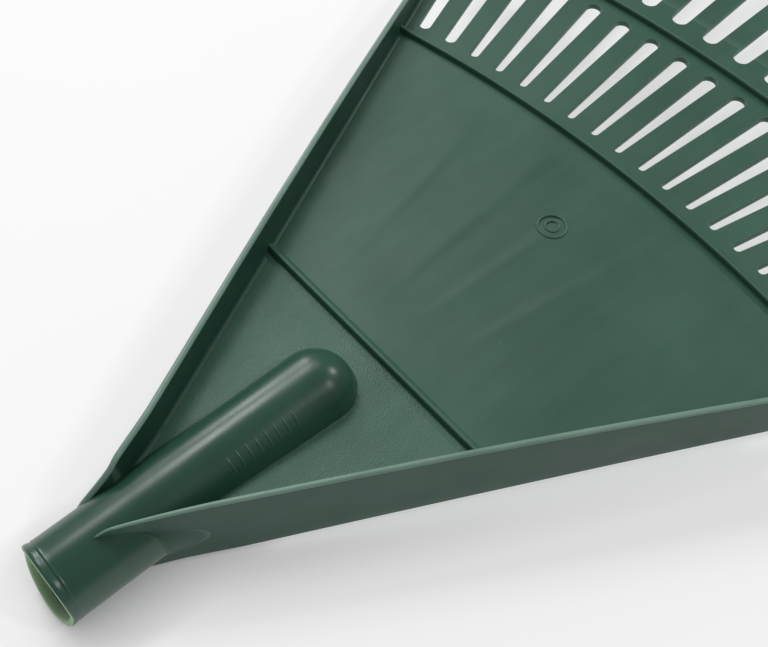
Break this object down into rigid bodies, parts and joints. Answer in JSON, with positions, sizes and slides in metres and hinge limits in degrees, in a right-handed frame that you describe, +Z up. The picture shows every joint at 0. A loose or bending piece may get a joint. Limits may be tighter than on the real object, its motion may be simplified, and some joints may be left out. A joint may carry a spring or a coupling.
{
  "type": "leaf rake head",
  "caption": "Fan-shaped plastic leaf rake head with a handle socket, side flanges, cross ribs, a slotted web and springy tines with hooked tips.",
  "frame": {"origin": "middle of the footprint, on the ground that the socket mouth and the tine tips stand on", "axes": "+X along the middle of the fan from the socket to the tine tips, +Y to the left side, +Z up"},
  "size_m": [0.546, 0.5024, 0.0444],
  "materials": {
    "smooth_green_plastic": "moulded polypropylene, smooth and softly glossy",
    "satin_green_plastic": "moulded polypropylene, satin",
    "grained_green_plastic": "moulded polypropylene, fine pebbled grain"
  },
  "bodies": {
    "head": {"handle_socket": "smooth_green_plastic", "throat_panel_left": "grained_green_plastic", "side_flange_left": "satin_green_plastic", "throat_panel_right": "grained_green_plastic", "side_flange_right": "satin_green_plastic", "throat_rib": "satin_green_plastic", "fan_panel": "satin_green_plastic", "inner_arc_rib": "satin_green_plastic", "slotted_web": "satin_green_plastic", "outer_arc_rib": "satin_green_plastic", "tine_root_bar": "satin_green_plastic"},
    "tine_01": {"tine_01": "satin_green_plastic"},
    "tine_02": {"tine_02": "satin_green_plastic"},
    "tine_03": {"tine_03": "satin_green_plastic"},
    "tine_04": {"tine_04": "satin_green_plastic"},
    "tine_05": {"tine_05": "satin_green_plastic"},
    "tine_06": {"tine_06": "satin_green_plastic"},
    "tine_07": {"tine_07": "satin_green_plastic"},
    "tine_08": {"tine_08": "satin_green_plastic"},
    "tine_09": {"tine_09": "satin_green_plastic"},
    "tine_10": {"tine_10": "satin_green_plastic"},
    "tine_11": {"tine_11": "satin_green_plastic"},
    "tine_12": {"tine_12": "satin_green_plastic"},
    "tine_13": {"tine_13": "satin_green_plastic"},
    "tine_14": {"tine_14": "satin_green_plastic"},
    "tine_15": {"tine_15": "satin_green_plastic"},
    "tine_16": {"tine_16": "satin_green_plastic"},
    "tine_17": {"tine_17": "satin_green_plastic"},
    "tine_18": {"tine_18": "satin_green_plastic"},
    "tine_19": {"tine_19": "satin_green_plastic"},
    "tine_20": {"tine_20": "satin_green_plastic"}
  },
  "joints": [
    {"name": "tine_01_flex", "type": "hinge", "parent": "head", "child": "tine_01", "pos_m": [0.0657, 0.16256, 0.03368], "axis": [0.4486, -0.8936, 0.0139], "range_deg": [-10, 15], "stiffness_Nm_per_rad": 0.5, "springref_deg": -1.72},
    {"name": "tine_02_flex", "type": "hinge", "parent": "head", "child": "tine_02", "pos_m": [0.06999, 0.14507, 0.03381], "axis": [0.4043, -0.9145, 0.0125], "range_deg": [-10, 15], "stiffness_Nm_per_rad": 0.5, "springref_deg": -1.72},
    {"name": "tine_03_flex", "type": "hinge", "parent": "head", "child": "tine_03", "pos_m": [0.07375, 0.12769, 0.03393], "axis": [0.359, -0.9333, 0.0111], "range_deg": [-10, 15], "stiffness_Nm_per_rad": 0.5, "springref_deg": -1.72},
    {"name": "tine_04_flex", "type": "hinge", "parent": "head", "child": "tine_04", "pos_m": [0.07698, 0.11043, 0.03403], "axis": [0.3129, -0.9497, 0.0097], "range_deg": [-10, 15], "stiffness_Nm_per_rad": 0.5, "springref_deg": -1.72},
    {"name": "tine_05_flex", "type": "hinge", "parent": "head", "child": "tine_05", "pos_m": [0.07973, 0.09327, 0.03412], "axis": [0.2661, -0.9639, 0.0083], "range_deg": [-10, 15], "stiffness_Nm_per_rad": 0.5, "springref_deg": -1.72},
    {"name": "tine_06_flex", "type": "hinge", "parent": "head", "child": "tine_06", "pos_m": [0.08199, 0.07619, 0.03419], "axis": [0.2186, -0.9758, 0.0068], "range_deg": [-10, 15], "stiffness_Nm_per_rad": 0.5, "springref_deg": -1.72},
    {"name": "tine_07_flex", "type": "hinge", "parent": "head", "child": "tine_07", "pos_m": [0.08378, 0.05919, 0.03424], "axis": [0.1705, -0.9853, 0.0053], "range_deg": [-10, 15], "stiffness_Nm_per_rad": 0.5, "springref_deg": -1.72},
    {"name": "tine_08_flex", "type": "hinge", "parent": "head", "child": "tine_08", "pos_m": [0.08511, 0.04224, 0.03428], "axis": [0.1221, -0.9925, 0.0038], "range_deg": [-10, 15], "stiffness_Nm_per_rad": 0.5, "springref_deg": -1.72},
    {"name": "tine_09_flex", "type": "hinge", "parent": "head", "child": "tine_09", "pos_m": [0.086, 0.02533, 0.03431], "axis": [0.0734, -0.9973, 0.0023], "range_deg": [-10, 15], "stiffness_Nm_per_rad": 0.5, "springref_deg": -1.72},
    {"name": "tine_10_flex", "type": "hinge", "parent": "head", "child": "tine_10", "pos_m": [0.08644, 0.00844, 0.03432], "axis": [0.0245, -0.9997, 0.0008], "range_deg": [-10, 15], "stiffness_Nm_per_rad": 0.5, "springref_deg": -1.72},
    {"name": "tine_11_flex", "type": "hinge", "parent": "head", "child": "tine_11", "pos_m": [0.08644, -0.00844, 0.03432], "axis": [-0.0245, -0.9997, -0.0008], "range_deg": [-10, 15], "stiffness_Nm_per_rad": 0.5, "springref_deg": -1.72},
    {"name": "tine_12_flex", "type": "hinge", "parent": "head", "child": "tine_12", "pos_m": [0.086, -0.02533, 0.03431], "axis": [-0.0734, -0.9973, -0.0023], "range_deg": [-10, 15], "stiffness_Nm_per_rad": 0.5, "springref_deg": -1.72},
    {"name": "tine_13_flex", "type": "hinge", "parent": "head", "child": "tine_13", "pos_m": [0.08511, -0.04224, 0.03428], "axis": [-0.1221, -0.9925, -0.0038], "range_deg": [-10, 15], "stiffness_Nm_per_rad": 0.5, "springref_deg": -1.72},
    {"name": "tine_14_flex", "type": "hinge", "parent": "head", "child": "tine_14", "pos_m": [0.08378, -0.05919, 0.03424], "axis": [-0.1705, -0.9853, -0.0053], "range_deg": [-10, 15], "stiffness_Nm_per_rad": 0.5, "springref_deg": -1.72},
    {"name": "tine_15_flex", "type": "hinge", "parent": "head", "child": "tine_15", "pos_m": [0.08199, -0.07619, 0.03419], "axis": [-0.2186, -0.9758, -0.0068], "range_deg": [-10, 15], "stiffness_Nm_per_rad": 0.5, "springref_deg": -1.72},
    {"name": "tine_16_flex", "type": "hinge", "parent": "head", "child": "tine_16", "pos_m": [0.07973, -0.09327, 0.03412], "axis": [-0.2661, -0.9639, -0.0083], "range_deg": [-10, 15], "stiffness_Nm_per_rad": 0.5, "springref_deg": -1.72},
    {"name": "tine_17_flex", "type": "hinge", "parent": "head", "child": "tine_17", "pos_m": [0.07698, -0.11043, 0.03403], "axis": [-0.3129, -0.9497, -0.0097], "range_deg": [-10, 15], "stiffness_Nm_per_rad": 0.5, "springref_deg": -1.72},
    {"name": "tine_18_flex", "type": "hinge", "parent": "head", "child": "tine_18", "pos_m": [0.07375, -0.12769, 0.03393], "axis": [-0.359, -0.9333, -0.0111], "range_deg": [-10, 15], "stiffness_Nm_per_rad": 0.5, "springref_deg": -1.72},
    {"name": "tine_19_flex", "type": "hinge", "parent": "head", "child": "tine_19", "pos_m": [0.06999, -0.14507, 0.03381], "axis": [-0.4043, -0.9145, -0.0125], "range_deg": [-10, 15], "stiffness_Nm_per_rad": 0.5, "springref_deg": -1.72},
    {"name": "tine_20_flex", "type": "hinge", "parent": "head", "child": "tine_20", "pos_m": [0.0657, -0.16256, 0.03368], "axis": [-0.4486, -0.8936, -0.0139], "range_deg": [-10, 15], "stiffness_Nm_per_rad": 0.5, "springref_deg": -1.72}
  ]
}
